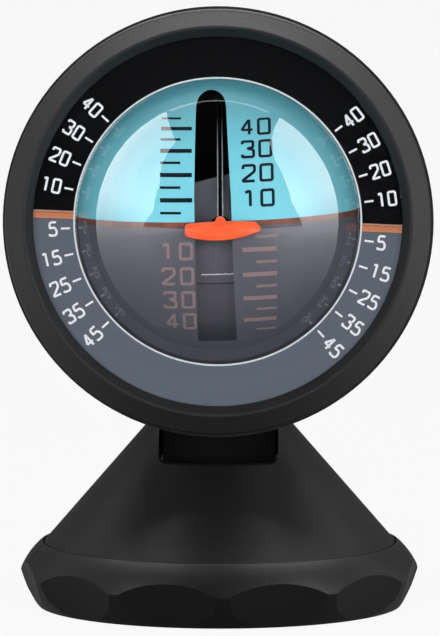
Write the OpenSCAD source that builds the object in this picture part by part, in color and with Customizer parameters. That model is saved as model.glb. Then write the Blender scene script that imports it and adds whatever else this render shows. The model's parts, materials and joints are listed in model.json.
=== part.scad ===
// Dashboard inclinometer: a tilting, swivelling round head with a weighted two-colour ball
// behind a clear dome, on a conical stand with a scalloped skirt and a sticky pad.
// Millimetres. Origin: centre of the sticky pad's underside. +Z up, the dial faces -Y.

/* [Base] */
// How far the sticky pad's edge lies inside the skirt's foot
pad_inset = 2.9; // [2:0.1:5]
// Thickness of the sticky pad
pad_t = 1.2; // [0.8:0.1:2]
// Thickness of the base plate
plate_t = 1.8; // [1.5:0.1:2.4]
// Height of the ring on the base plate that carries the friction washer
rib_h = 2.7; // [2:0.1:4]
// Width of that ring
rib_w = 2.5; // [1.5:0.1:2.8]
// Radius of the pivot post in the middle of the base plate
post_r = 5; // [4:0.25:5.5]
// Thickness of the friction washer
washer_t = 0.6; // [0.4:0.1:1]

/* [Skirt] */
// Widest radius of the skirt, at the ridge between two scoops
skirt_r = 33; // [31:0.1:36]
// Height of that ridge
skirt_ridge_z = 5.6; // [5:0.1:6.4]
// How far the skirt's foot lies inside the ridge
skirt_foot_in = 2.6; // [2:0.1:3]
// Radius of the arc from the foot up to the ridge
skirt_foot_arc = 20; // [16:1:30]
// How far the skirt draws in from the ridge up to its seam with the cone
skirt_flare = 4.15; // [4:0.05:4.4]
// Radius of the arc from the ridge up to the seam
skirt_flare_arc = 12; // [10:0.5:16]
// Gap between the skirt's foot and the surface the pad sticks to
skirt_foot_z = 0.3; // [0.1:0.1:0.8]
// Thickness of the skirt wall at its foot
skirt_wall = 1.4; // [1:0.1:1.8]
// Number of scoops around the skirt
scoop_count = 11; // [7:1:15]
// Radius of the shallow cylinder that cuts each scoop
scoop_r = 80; // [50:5:150]
// Depth of each scoop at the height of the ridge
scoop_depth = 1.55; // [1:0.05:1.65]
// Tilt of that line from the vertical
scoop_tilt = 16; // [12:1:20]
// Azimuth of the first scoop, from the front towards +X
scoop_az = 18.6; // [0:0.1:33]
// Azimuth of the parting line between the two skirt halves
split_az = -77; // [-90:1:-60]

/* [Stand] */
// Radius of the cone at its open top
cone_top_r = 11.35; // [10.8:0.05:12]
// Height of the cone above the seam
cone_h = 20.2; // [19.4:0.1:20.6]
// Wall of the cone
cone_wall = 2; // [1.4:0.1:2.4]
// Thickness of the turntable that the cone stands on
table_t = 1.5; // [1.3:0.1:2]
// Height of the skirt's lip that holds the turntable down
lip_h = 2.7; // [2:0.1:3.2]
// How far the turntable's rim reaches under the lip
rim_grip = 0.85; // [0.5:0.05:1]
// Height of the slot's floor above the hinge axis
slot_floor_h = 4.6; // [4:0.1:6]
// Radius in the slot's lower corners
slot_corner_r = 1.2; // [0.6:0.1:2]

/* [Hinge] */
// Height of the hinge axis above the turntable
hinge_h = 12.6; // [12:0.1:13.4]
// Radius of the hinge pin
pin_r = 1.5; // [1:0.1:2]
// Width of the neck between the ears of the yoke
neck_w = 18.4; // [16:0.2:19]
// Thickness of the neck from front to back
neck_t = 9; // [7:0.25:9.5]
// Radius of the neck's barrel and of the yoke's ears
barrel_r = 5.5; // [4.8:0.1:6]
// Thickness of each yoke ear
ear_t = 2.5; // [1.5:0.1:2.8]
// Thickness of the yoke's base slab
yoke_t = 2.5; // [1.8:0.1:3]
// Thickness of each washer between the neck and an ear
hinge_washer_t = 0.3; // [0.2:0.05:0.6]
// Furthest that the head tips back from the pose it is drawn in
tilt_back = 15; // [5:1:18]

/* [Head] */
// Height of the dial's centre above the pad's underside
head_z = 65; // [64.6:0.1:67]
// Distance of the dial's centre in front of the stand's axis
head_y = 15; // [13:0.25:16]
// Lean of the head back from the vertical
head_lean = 6; // [0:0.5:10]
// Outer radius of the rim behind the bezel
rim_r = 35.1; // [34.9:0.1:37]
// Outer radius of the bezel in front of the rim
bezel_r = 34.6; // [34.2:0.1:34.8]
// Radius of the bezel's opening at its front lip
bezel_lip_r = 31.1; // [30.6:0.1:31.6]
// Height of the bezel's lip in front of the dial
bezel_front = 3; // [2.2:0.1:4]
// Length of the bezel behind the dial's plane
bezel_depth = 2.4; // [2:0.1:3]
// Wall of the rear housing
housing_wall = 2.3; // [1.6:0.1:2.5]
// Number of screws that hold the housing to the bezel
housing_screw_count = 4; // [3:1:8]

/* [Lens and dial] */
// Radius of the lens flange
flange_r = 30; // [29.6:0.05:30.2]
// Thickness of the lens flange and of the dome
lens_t = 1.2; // [0.8:0.1:1.4]
// Inner radius of the dome
dome_r = 22.4; // [22.1:0.1:23]
// Depth of the dome's centre behind the dial's plane
dome_y = 5; // [4.6:0.1:5.4]
// Fillet between the dome and its flange
dome_fillet = 1.2; // [0.6:0.1:1.6]
// Thickness of the dial
dial_t = 0.8; // [0.5:0.1:1.2]
// Radius of the hole in the dial
dial_hole_r = 23; // [22.6:0.1:24]
// Turn of the dial about the head's axis, as it was fitted
dial_turn = 2.3; // [-5:0.1:5]

/* [Ball] */
// Outer radius of the ball
ball_r = 23.4; // [22.8:0.1:23.5]
// Depth of the ball's centre behind the dial's plane
ball_y = 10; // [9.8:0.1:11]
// Wall of the ball's shells
ball_wall = 1.5; // [1:0.1:1.6]
// Height of the horizon band's middle above the ball's centre
horizon_z = 1.9; // [1.85:0.05:2.4]
// Width of the horizon band
horizon_w = 0.8; // [0.4:0.1:0.9]
// Width of the slot for the pointer's arm at its lower end
ball_slot_w = 5.8; // [5:0.1:6]
// Width of that slot at its round upper end
ball_slot_top_w = 4.5; // [3.6:0.1:4.8]
// Offset of the slot to the right of the ball's middle
ball_slot_x = -0.4; // [-0.8:0.1:0.2]
// Lowest latitude of the slot
ball_slot_low = -44; // [-46:0.5:-42]
// Highest latitude of the slot
ball_slot_high = 64.5; // [62:0.5:66]
// Roll of the ball in the pose it is drawn in, positive to the right side
ball_roll = -1.7; // [-10:0.1:10]

/* [Gimbal] */
// Thickness of the gimbal yoke's band
band_t = 1.5; // [1:0.1:1.8]
// Width of that band
band_w = 8; // [6:0.5:9]
// Radius of the roll shaft
shaft_r = 1; // [0.7:0.1:1.5]
// Radius of the pitch axle
axle_r = 0.7; // [0.5:0.05:0.75]
// Wall of the bushes that the ball turns on
bush_wall = 0.45; // [0.3:0.05:0.5]
// Radius of the roll weight
weight_r = 18.5; // [15:0.5:18.5]
// Width of the roll weight
weight_w = 8; // [6:0.5:9]
// Width of the pointer's arm where it meets the pointer
arm_w = 0.9; // [0.6:0.05:1.2]
// Width of the pointer's arm at the carrier
arm_top_w = 0.75; // [0.4:0.05:0.9]
// Slant of the upper edge of the roll weight's shield
shield_slant = 12; // [0:1:15]
// Length of the pointer
pointer_w = 12.4; // [8:0.1:13]
// Height of the pointer
pointer_h = 3; // [2:0.1:3.6]
// Thickness of the pointer
pointer_t = 1.4; // [0.8:0.1:1.6]
// Offset of the pointer to the right of the head's axis
pointer_x = 0.7; // [-1:0.1:1]
// Offset of the pointer below the head's axis
pointer_drop = 1.5; // [0.5:0.1:2]

/* [Hidden] */
$fn = 96;

// Clearances
run_gap = 0.05;    // radial, shaft in bore
seat_gap = 0.1;    // between pieces that are laid or glued together
move_gap = 0.3;    // between pieces that move past each other
thread_gap = 0.02; // screw in its pilot hole
cut = 0.1;         // how far a cutter passes through a face

// Heights of the stand
plate_z = pad_t;
plate_top = plate_z + plate_t;
washer_z = plate_top + rib_h;
table_z = washer_z + washer_t + seat_gap;
table_top = table_z + table_t;
lip_z = table_top + move_gap / 2;
seam_z = lip_z + lip_h;
cone_top_z = seam_z + cone_h;
hinge_z = table_top + hinge_h;
slot_z = hinge_z + slot_floor_h;

// Radii of the stand
cone_r = skirt_r - skirt_flare;
skirt_foot_r = skirt_r - skirt_foot_in;
pad_r = skirt_foot_r - pad_inset;
lip_r = cone_r + move_gap;
skirt_top_r = lip_r + 0.35;
table_r = lip_r + rim_grip;
cavity_r = table_r + move_gap;
foot_cavity_r = skirt_foot_r - skirt_wall;
plate_r = foot_cavity_r - seat_gap;

// Screws of the stand: head radius, head height, shank radius
base_screw = [2.2, 1.2, 1.1];
stand_screw = [1.9, 1.0, 1.0];
boss_r = 2.6;
base_boss_r = foot_cavity_r - boss_r - 0.8;
washer_r = base_boss_r - boss_r - 0.5;
rib_r = washer_r - rib_w;
base_screw_len = rib_h + plate_t - 0.3;
cone_boss_h = 4.5;
cone_boss_r = cone_r - cone_wall - boss_r;
stand_screw_len = 5;
yoke_screw_x = 8;
yoke_screw_y = 6.2;
yoke_screw_len = table_t + yoke_t - 0.4;

// Hinge
yoke_x = neck_w / 2 + hinge_washer_t + seat_gap;
ear_x = yoke_x + ear_t;
yoke_w = 2 * ear_x + 2;
yoke_d = 2 * (yoke_screw_y + stand_screw[0] + 0.9);
slot_w = neck_w + 1.1;
slot_back = neck_t / 2 + (cone_top_z - hinge_z) * tan(tilt_back) + 1;
rear_slot_z = slot_z + 1.5;
clip_t = 0.4;
clip_wall = 1.3;

// Head, in the head's own frame: y grows to the rear from the lens flange's rear face
dial_y = seat_gap;
seat_y = dial_y + dial_t;
housing_in_r = ball_r + 3.6;
housing_r = housing_in_r + housing_wall;
joint_y = bezel_depth + 0.2;
floor_y = joint_y + 1.9;
rim_y = floor_y + 1.9;
spigot_r = rim_r - 1.9;
housing_screw = [1.8, 0.9, 0.9];
housing_screw_r = (housing_r + spigot_r) / 2 + 0.4;
housing_screw_len = floor_y - 0.3;
opening_r = flange_r + seat_gap;
shelf_r = opening_r - 3.5;

// Roll shaft and gimbal, along the head's axis
shaft_front = ball_y + ball_r + move_gap;
clip_y = shaft_front + 0.2;
groove_r = shaft_r - 0.25;
clip_r = groove_r + thread_gap + 1.2;
hub_y = clip_y + clip_t + 0.2;
hub_end = ball_y + housing_in_r - move_gap;
boss_end = ball_y + housing_r + 1.1;
shaft_end = boss_end - 0.9;
band_in_r = ball_r + 0.9;
band_out_r = band_in_r + band_t;
band_front = 3;
bush_r = axle_r + run_gap + bush_wall;
bush_collar_r = bush_r + 0.5;
bush_x = ball_r - ball_wall - 0.3;

// Ball
ball_in_r = ball_r - ball_wall;
horizon_low = horizon_z - horizon_w / 2;
horizon_top = horizon_z + horizon_w / 2;
spigot_wall = 0.6;
spigot_reach = 1;
slot_shoulder = 0.05;
ball_weight_r = ball_in_r - seat_gap;
ball_weight_t = 2;
ball_weight_angle = 35;

// Pointer's arm: where it leaves the carrier, and where it meets the pointer
arm_t = 1;
arm_top = [-10, 16];
pointer_back = -(ball_r + 0.9);
pointer_keel_r = 18;
pointer_top_r = 70;
pointer_boss_r = 0.8;
pointer_shift = 0.4;
arm_end = [pointer_back - pointer_t / 2, -pointer_drop];
carrier_y = -11;
carrier_hub_r = 3;
tab_t = 2;

// Places of the head's frame and of the neck
ball_place = [0, -head_y + ball_y * cos(head_lean), head_z - ball_y * sin(head_lean)];
neck_len = norm([ball_place[1], ball_place[2] - hinge_z]);
neck_lean = atan2(-ball_place[1], ball_place[2] - hinge_z);
neck_screw_angle = 11;
neck_screw_len = 6.5;
saddle_t = 2.6;

// Centre of the circle of radius r through p and q, on the left of the way from p to q
function arc_centre(p, q, r) =
    let (d = q - p, half = norm(d) / 2, side = [-d[1], d[0]] / norm(d))
    (p + q) / 2 + side * sqrt(r * r - half * half);

// Points of an arc about c, from angle a to angle b
function arc(c, r, a, b, steps = 6) =
    [for (i = [0 : steps]) c + r * [cos(a + (b - a) * i / steps), sin(a + (b - a) * i / steps)]];

// Frames ------------------------------------------------------------------

module head_frame() {
    translate([0, -head_y, head_z]) rotate([-head_lean, 0, 0]) children();
}

module gimbal_frame() {
    head_frame() translate([0, ball_y, 0]) rotate([0, ball_roll, 0]) children();
}

module ball_frame() {
    gimbal_frame() rotate([head_lean, 0, 0]) children();
}

module neck_frame() {
    translate([0, 0, hinge_z]) rotate([neck_lean, 0, 0]) children();
}

// Turns a profile of radius and depth about the head's axis
module about_y() {
    rotate([-90, 0, 0]) rotate_extrude() children();
}

// A cylinder along X between two stations
module rod_x(r, x0, x1) {
    translate([x0, 0, 0]) rotate([0, 90, 0]) cylinder(r = r, h = x1 - x0);
}

// A cylinder along Y between two stations
module rod_y(r, y0, y1) {
    translate([0, y0, 0]) rotate([-90, 0, 0]) cylinder(r = r, h = y1 - y0);
}

module ring(r_out, r_in, h) {
    difference() {
        cylinder(r = r_out, h = h);
        translate([0, 0, -cut]) cylinder(r = r_in, h = h + 2 * cut);
    }
}

// Fasteners ---------------------------------------------------------------

// Cross recess, from the face of a screw's head into it
module cross_recess(size, depth) {
    translate([-size, -size / 5, -cut]) cube([2 * size, size * 2 / 5, depth + cut]);
    translate([-size / 5, -size, -cut]) cube([size * 2 / 5, 2 * size, depth + cut]);
}

// Countersunk screw with its head's face at z = 0, pointing up
module flat_screw(s, length) {
    difference() {
        union() {
            cylinder(r1 = s[0], r2 = s[2], h = s[1]);
            cylinder(r = s[2], h = length);
        }
        cross_recess(s[0] * 0.55, s[1] * 0.5);
    }
}

// Countersunk hole for that screw, through t of material
module flat_screw_hole(s, t) {
    cylinder(r = s[2] + seat_gap, h = t + cut);
    translate([0, 0, -cut])
        cylinder(r1 = s[0] + 2 * seat_gap, r2 = s[2] + seat_gap, h = s[1] + cut);
}

// Pan-head screw with its head's face at z = 0, pointing up
module pan_screw(s, length) {
    difference() {
        union() {
            cylinder(r = s[0], h = s[1]);
            cylinder(r = s[2], h = length);
        }
        cross_recess(s[0] * 0.6, s[1] * 0.55);
    }
}

// Open spring ring in the groove of a shaft along Z
module snap_ring(r, wall) {
    difference() {
        ring(r + wall, r, clip_t);
        translate([0, -r * 0.6, -cut]) cube([r + wall + cut, r * 1.2, clip_t + 2 * cut]);
    }
}

module at_base_screws() {
    for (i = [0 : 3])
        rotate([0, 0, split_az + 45 + 90 * i]) translate([base_boss_r, 0, 0]) children();
}

module at_cone_screws() {
    for (i = [0 : 3])
        rotate([0, 0, 45 + 90 * i]) translate([cone_boss_r, 0, 0]) children();
}

module at_yoke_screws() {
    for (x = [-1, 1], y = [-1, 1])
        translate([x * yoke_screw_x, y * yoke_screw_y, 0]) children();
}

module at_housing_screws() {
    for (i = [0 : housing_screw_count - 1])
        rotate([0, 45 + 360 * i / housing_screw_count, 0])
            translate([housing_screw_r, 0, 0]) rotate([90, 0, 0]) children();
}

// Neck screws start inside the housing and point from its centre into the neck
module at_neck_screws() {
    for (side = [-1, 1])
        neck_frame() translate([0, 0, neck_len]) rotate([0, side * neck_screw_angle, 0])
            mirror([0, 0, 1]) translate([0, 0, housing_in_r + seat_gap]) children();
}

// Base --------------------------------------------------------------------

module adhesive_pad() {
    color("dimgray") cylinder(r = pad_r, h = pad_t);
}

module base_plate() {
    color([0.09, 0.09, 0.1]) difference() {
        union() {
            translate([0, 0, plate_z]) cylinder(r = plate_r, h = plate_t);
            translate([0, 0, plate_top - cut]) ring(washer_r, rib_r, rib_h + cut);
            translate([0, 0, plate_top - cut])
                cylinder(r = post_r, h = table_top - plate_top + 0.5);
        }
        at_base_screws() translate([0, 0, plate_z]) flat_screw_hole(base_screw, plate_t);
    }
}

module base_screws() {
    color("silver") at_base_screws() translate([0, 0, plate_z])
        flat_screw(base_screw, base_screw_len);
}

module friction_washer() {
    color("ivory") translate([0, 0, washer_z]) ring(washer_r, rib_r, washer_t);
}

// Skirt: a foot that spreads to a ridge and flares in to the seam, as two arcs of revolution
module skirt_profile() {
    foot = [skirt_foot_r, skirt_foot_z];
    ridge = [skirt_r, skirt_ridge_z];
    seam = [skirt_top_r, seam_z];
    chamfer = 0.5;
    difference() {
        intersection() {
            translate(arc_centre(foot, ridge, skirt_foot_arc)) circle(r = skirt_foot_arc);
            translate(arc_centre(ridge, seam, skirt_flare_arc)) circle(r = skirt_flare_arc);
            polygon([
                [foot_cavity_r, skirt_foot_z],
                [skirt_foot_r - chamfer, skirt_foot_z],
                [skirt_foot_r, skirt_foot_z + chamfer],
                [skirt_r + 1, skirt_ridge_z],
                [skirt_r + 1, seam_z],
                [foot_cavity_r, seam_z]
            ]);
        }
        translate([0, washer_z]) square([cavity_r, lip_z - washer_z]);
        translate([0, washer_z]) square([lip_r, seam_z]);
    }
}

module scoop() {
    translate([skirt_r - scoop_depth, 0, skirt_ridge_z]) rotate([0, scoop_tilt, 0])
        translate([scoop_r, 0, 0]) cylinder(r = scoop_r, h = skirt_r, center = true, $fn = 180);
}

module skirt_ring() {
    pitch = 360 / scoop_count;
    rotate([0, 0, scoop_az - 90 - pitch / 2]) difference() {
        rotate_extrude() skirt_profile();
        for (i = [0 : scoop_count - 1]) rotate([0, 0, (i + 0.5) * pitch]) scoop();
    }
}

// Bosses on the skirt wall that take the base screws
module skirt_bosses() {
    at_base_screws() translate([0, 0, plate_top]) difference() {
        union() {
            cylinder(r = boss_r, h = rib_h);
            translate([0, -boss_r / 2, 0]) cube([boss_r + 1.2, boss_r, rib_h]);
        }
        translate([0, 0, -cut])
            cylinder(r = base_screw[2] + thread_gap, h = base_screw_len - plate_t + 0.4);
    }
}

module skirt_half(side) {
    span = 2 * skirt_r;
    intersection() {
        union() {
            skirt_ring();
            skirt_bosses();
        }
        rotate([0, 0, split_az])
            translate([side > 0 ? seat_gap : -span - seat_gap, -span, -cut])
            cube([span, 2 * span, seam_z + 2 * cut]);
    }
}

module skirt_front() {
    color([0.1, 0.1, 0.11]) skirt_half(1);
}

module skirt_rear() {
    color([0.1, 0.1, 0.11]) skirt_half(-1);
}

// Stand -------------------------------------------------------------------

module turntable() {
    color([0.12, 0.12, 0.13]) translate([0, 0, table_z]) difference() {
        ring(table_r, post_r + run_gap, table_t);
        at_cone_screws() flat_screw_hole(stand_screw, table_t);
        at_yoke_screws() flat_screw_hole(stand_screw, table_t);
    }
}

module cone_profile() {
    slope = (cone_r - cone_top_r) / cone_h;
    wall_x = cone_wall * sqrt(1 + slope * slope);
    bend_z = seam_z - (wall_x - cone_wall) / slope;
    polygon([
        [cone_r - cone_wall, table_top],
        [cone_r, table_top],
        [cone_r, seam_z],
        [cone_top_r, cone_top_z],
        [cone_top_r - wall_x, cone_top_z],
        [cone_r - cone_wall, bend_z]
    ]);
}

// Outline of the slot across X, from its floor up past the cone's top
module slot_outline(floor_z) {
    inset = slot_w / 2 - slot_corner_r;
    translate([-slot_w / 2, floor_z + slot_corner_r])
        square([slot_w, cone_top_z - floor_z]);
    translate([-inset, floor_z]) square([2 * inset, cone_top_z - floor_z]);
    for (side = [-1, 1])
        translate([side * inset, floor_z + slot_corner_r]) circle(r = slot_corner_r);
}

module cone_shell() {
    color([0.11, 0.11, 0.12]) difference() {
        union() {
            rotate_extrude() cone_profile();
            at_cone_screws() translate([0, 0, table_top]) cylinder(r = boss_r, h = cone_boss_h);
        }
        rotate([90, 0, 0]) linear_extrude(height = cone_r + cut) slot_outline(slot_z);
        translate([0, slot_back, 0]) rotate([90, 0, 0])
            linear_extrude(height = slot_back + cut) slot_outline(rear_slot_z);
        at_cone_screws() translate([0, 0, table_top - cut])
            cylinder(r = stand_screw[2] + thread_gap, h = stand_screw_len - table_t + 0.4);
    }
}

module cone_screws() {
    color("silver") at_cone_screws() translate([0, 0, table_z])
        flat_screw(stand_screw, stand_screw_len);
}

module hinge_yoke() {
    color([0.08, 0.08, 0.09]) difference() {
        union() {
            translate([-yoke_w / 2, -yoke_d / 2, table_top]) cube([yoke_w, yoke_d, yoke_t]);
            for (side = [-1, 1]) translate([side * (yoke_x + ear_t / 2), 0, 0]) {
                translate([-ear_t / 2, -barrel_r, table_top])
                    cube([ear_t, 2 * barrel_r, hinge_h]);
                translate([0, 0, hinge_z]) rod_x(barrel_r, -ear_t / 2, ear_t / 2);
            }
        }
        translate([0, 0, table_top - cut]) cylinder(r = post_r + 0.6, h = yoke_t + 2 * cut);
        translate([0, 0, hinge_z]) rod_x(pin_r + thread_gap, -yoke_w, yoke_w);
        at_yoke_screws() translate([0, 0, table_top - cut])
            cylinder(r = stand_screw[2] + thread_gap, h = yoke_screw_len - table_t + 0.4);
    }
}

module yoke_screws() {
    color("silver") at_yoke_screws() translate([0, 0, table_z])
        flat_screw(stand_screw, yoke_screw_len);
}

module hinge_pin() {
    color("silver") translate([0, 0, hinge_z]) difference() {
        rod_x(pin_r, -ear_x - 1, ear_x + 1);
        for (side = [0, 1]) mirror([side, 0, 0])
            translate([ear_x + seat_gap - thread_gap, 0, 0]) rotate([0, 90, 0])
            ring(pin_r + cut, pin_r - 0.3, clip_t + 2 * thread_gap);
    }
}

module pin_clips() {
    color("gray") for (side = [0, 1]) mirror([side, 0, 0])
        translate([ear_x + seat_gap, 0, hinge_z]) rotate([0, 90, 0])
        snap_ring(pin_r - 0.3 + thread_gap, clip_wall);
}

module hinge_washers() {
    color("gray") for (side = [0, 1]) mirror([side, 0, 0])
        translate([neck_w / 2 + seat_gap / 2, 0, hinge_z]) rotate([0, 90, 0])
        ring(barrel_r - 1, pin_r + thread_gap, hinge_washer_t);
}

// Head --------------------------------------------------------------------

// Part of a thick sphere about the housing's centre, as wide as the neck
module neck_saddle() {
    saddle_d = neck_t + 6;
    intersection() {
        translate([0, 0, neck_len]) sphere(r = housing_r + saddle_t, $fn = 180);
        translate([-neck_w / 2, -saddle_d / 2, neck_len - housing_r - saddle_t])
            cube([neck_w, saddle_d, saddle_t + 4]);
    }
}

module neck() {
    color([0.07, 0.07, 0.08]) difference() {
        neck_frame() difference() {
            union() {
                rod_x(barrel_r, -neck_w / 2, neck_w / 2);
                translate([-neck_w / 2, -neck_t / 2, 0])
                    cube([neck_w, neck_t, neck_len - housing_r + saddle_t]);
                neck_saddle();
            }
            rod_x(pin_r + run_gap, -neck_w, neck_w);
            translate([0, 0, neck_len]) sphere(r = housing_r + run_gap, $fn = 180);
        }
        at_neck_screws() cylinder(r = stand_screw[2] + thread_gap, h = neck_screw_len + 0.5);
    }
}

module neck_screws() {
    color("silver") at_neck_screws() flat_screw(stand_screw, neck_screw_len);
}

module housing_profile() {
    translate([spigot_r + seat_gap, joint_y])
        square([rim_r - spigot_r - seat_gap, rim_y - joint_y - 0.6]);
    polygon(concat(
        [[housing_in_r, floor_y], [rim_r, floor_y]],
        arc([rim_r - 0.8, rim_y - 0.8], 0.8, 0, 90),
        [[housing_in_r, rim_y]]
    ));
    translate([housing_in_r, floor_y]) square([housing_wall, ball_y - floor_y]);
    intersection() {
        translate([0, ball_y]) difference() {
            circle(r = housing_r, $fn = 180);
            circle(r = housing_in_r, $fn = 180);
        }
        translate([0, ball_y]) square([housing_r, housing_r]);
    }
    translate([0, hub_end + move_gap + seat_gap])
        square([shaft_r + 3, boss_end - hub_end - move_gap - seat_gap]);
}

module rear_housing() {
    color([0.1, 0.1, 0.11]) difference() {
        head_frame() difference() {
            about_y() housing_profile();
            rod_y(shaft_r, hub_end - 2, shaft_end);
            at_housing_screws() translate([0, 0, -rim_y - cut]) {
                cylinder(r = housing_screw[0] + seat_gap, h = housing_screw[1] + 2 * cut);
                cylinder(r = housing_screw[2] + seat_gap, h = rim_y);
            }
        }
        at_neck_screws() flat_screw_hole(stand_screw, housing_wall + 1);
    }
}

module housing_screws() {
    color("silver") head_frame() at_housing_screws()
        translate([0, 0, -rim_y + cut]) pan_screw(housing_screw, housing_screw_len);
}

module bezel_profile() {
    lip = 0.5;
    edge = 0.7;
    polygon(concat(
        [[shelf_r, bezel_depth + 2], [shelf_r, seat_y], [opening_r, seat_y],
            [opening_r, -lens_t]],
        arc([bezel_lip_r + lip, -bezel_front + lip], lip, 180, 290),
        arc([bezel_r - edge, edge - bezel_front / 2 + 0.2], edge, 290, 360),
        [[bezel_r, bezel_depth], [spigot_r, bezel_depth], [spigot_r, bezel_depth + 2]]
    ));
}

module bezel() {
    color([0.12, 0.12, 0.13]) head_frame() difference() {
        about_y() bezel_profile();
        at_housing_screws() translate([0, 0, -rim_y - cut])
            cylinder(r = housing_screw[2] + thread_gap, h = housing_screw_len + 0.4);
    }
}

module dial() {
    color([0.3, 0.33, 0.37]) head_frame() rotate([0, dial_turn, 0])
        translate([0, seat_y, 0]) rotate([90, 0, 0]) ring(flange_r - 0.05, dial_hole_r, dial_t);
}

// Clear dome with its flange, joined by a fillet
module lens_profile() {
    dome_out = dome_r + lens_t;
    fillet_y = -lens_t - dome_fillet;
    fillet_x = sqrt(pow(dome_out + dome_fillet, 2) - pow(dome_y - fillet_y, 2));
    tangent_y = dome_y + (fillet_y - dome_y) * dome_out / (dome_out + dome_fillet);
    difference() {
        union() {
            intersection() {
                translate([0, dome_y]) circle(r = dome_out, $fn = 180);
                translate([0, dome_y - dome_out]) square([dome_out, dome_out - dome_y]);
            }
            translate([dome_r - 2, -lens_t]) square([flange_r - dome_r + 2, lens_t]);
            difference() {
                translate([dome_r - 1, tangent_y])
                    square([fillet_x - dome_r + 1, -lens_t - tangent_y]);
                translate([fillet_x, fillet_y]) circle(r = dome_fillet);
            }
        }
        translate([0, dome_y]) circle(r = dome_r, $fn = 180);
    }
}

module lens() {
    color([0.85, 0.9, 0.92, 0.35]) head_frame() about_y() lens_profile();
}

module roll_shaft() {
    color("silver") head_frame() difference() {
        rod_y(shaft_r, shaft_front, shaft_end);
        translate([0, clip_y - thread_gap, 0]) rotate([-90, 0, 0])
            ring(shaft_r + cut, groove_r, clip_t + 2 * thread_gap);
    }
}

module shaft_clip() {
    color("gray") head_frame() translate([0, clip_y, 0]) rotate([-90, 0, 0])
        snap_ring(groove_r + thread_gap, clip_r - groove_r - thread_gap);
}

// Gimbal ------------------------------------------------------------------

// Strap bent round the back of the ball, with an ear on each side for the axle
module gimbal_yoke() {
    color("gray") gimbal_frame() difference() {
        union() {
            translate([0, 0, -band_w / 2]) rotate_extrude(angle = 180)
                translate([band_in_r, 0]) square([band_t, band_w]);
            for (side = [0, 1]) mirror([side, 0, 0])
                translate([band_in_r, -band_front, -band_w / 2])
                cube([band_t, band_front + cut, band_w]);
            rod_y(shaft_r + 2, hub_y - ball_y, hub_end - ball_y);
        }
        rod_x(axle_r + thread_gap, -band_out_r - cut, band_out_r + cut);
        rod_y(shaft_r + run_gap, 0, housing_in_r);
        rod_y(clip_r + 2 * seat_gap, 0, clip_y + clip_t + seat_gap - ball_y);
    }
}

module pitch_axle() {
    color("silver") gimbal_frame() rod_x(axle_r, -band_out_r + seat_gap, band_out_r - seat_gap);
}

// The arm's bar, from inside the carrier to the pointer, made larger by gap all round
module arm_bar(gap) {
    run = arm_end - arm_top;
    length = norm(run);
    root = 3;
    translate([pointer_x, arm_top[0], arm_top[1]]) rotate([atan2(run[1], run[0]), 0, 0])
        translate([0, 0, -arm_t / 2 - gap]) linear_extrude(height = arm_t + 2 * gap)
        polygon([
            [-arm_top_w / 2 - gap, -root - gap], [arm_top_w / 2 + gap, -root - gap],
            [arm_w / 2 + gap, length + 2], [-arm_w / 2 - gap, length + 2]
        ]);
}

module pointer_arm() {
    color([0.15, 0.15, 0.15]) gimbal_frame() difference() {
        arm_bar(0);
        translate([-5, pointer_back - 20, -20]) cube([10, 20, 40]);
    }
}

// Black post on the axle that holds the arm, with a tab down into the roll weight
module inner_carrier() {
    post_w = ball_slot_w - 0.6;
    post_r = ball_in_r - move_gap - 0.2;
    color([0.03, 0.03, 0.03]) gimbal_frame() difference() {
        union() {
            rod_x(carrier_hub_r, -weight_w / 2, weight_w / 2);
            intersection() {
                translate([-post_w / 2, carrier_y, -1]) cube([post_w, 5.5, post_r + 1]);
                rod_x(post_r, -post_w, post_w);
            }
            translate([-post_w / 2, carrier_y + cut, -1]) cube([post_w, -carrier_y, 3]);
            translate([-tab_t / 2, -4, -carrier_hub_r - 7]) cube([tab_t, 8, 8]);
        }
        rod_x(axle_r + thread_gap, -weight_w, weight_w);
        arm_bar(thread_gap);
    }
}

// Half disc below the axle, with a curved shield in front that closes the view into the ball
// and ends in a slanted edge
module roll_weight() {
    weight_top = -carrier_hub_r - seat_gap;
    shield_top = 6;
    shield_h = shield_top + weight_w - weight_top;
    shield_t = 1.5;
    step_z = -8.5;
    color("dimgray") gimbal_frame() difference() {
        intersection() {
            rod_x(weight_r, -weight_w / 2, weight_w / 2);
            union() {
                translate([-weight_w, -weight_r, step_z])
                    cube([2 * weight_w, 2 * weight_r, weight_top - step_z]);
                difference() {
                    rod_x(weight_r - 0.6, -weight_w, weight_w);
                    translate([-weight_w - cut, -weight_r, step_z])
                        cube([2 * weight_w + 2 * cut, 2 * weight_r, 2 * weight_r]);
                }
                difference() {
                    translate([-weight_w, -weight_r, weight_top - cut])
                        cube([2 * weight_w, weight_r / 2, shield_h + cut]);
                    rod_x(weight_r - shield_t, -weight_w - cut, weight_w + cut);
                    translate([0, -weight_r - cut, shield_top]) rotate([0, -shield_slant, 0])
                        translate([-2 * weight_w, 0, 0])
                        cube([4 * weight_w, weight_r, 2 * weight_w]);
                }
            }
        }
        translate([-tab_t / 2 - thread_gap, -4 - seat_gap, -carrier_hub_r - 7 - seat_gap])
            cube([tab_t + 2 * thread_gap, 8 + 2 * seat_gap, 10]);
    }
}

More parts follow.
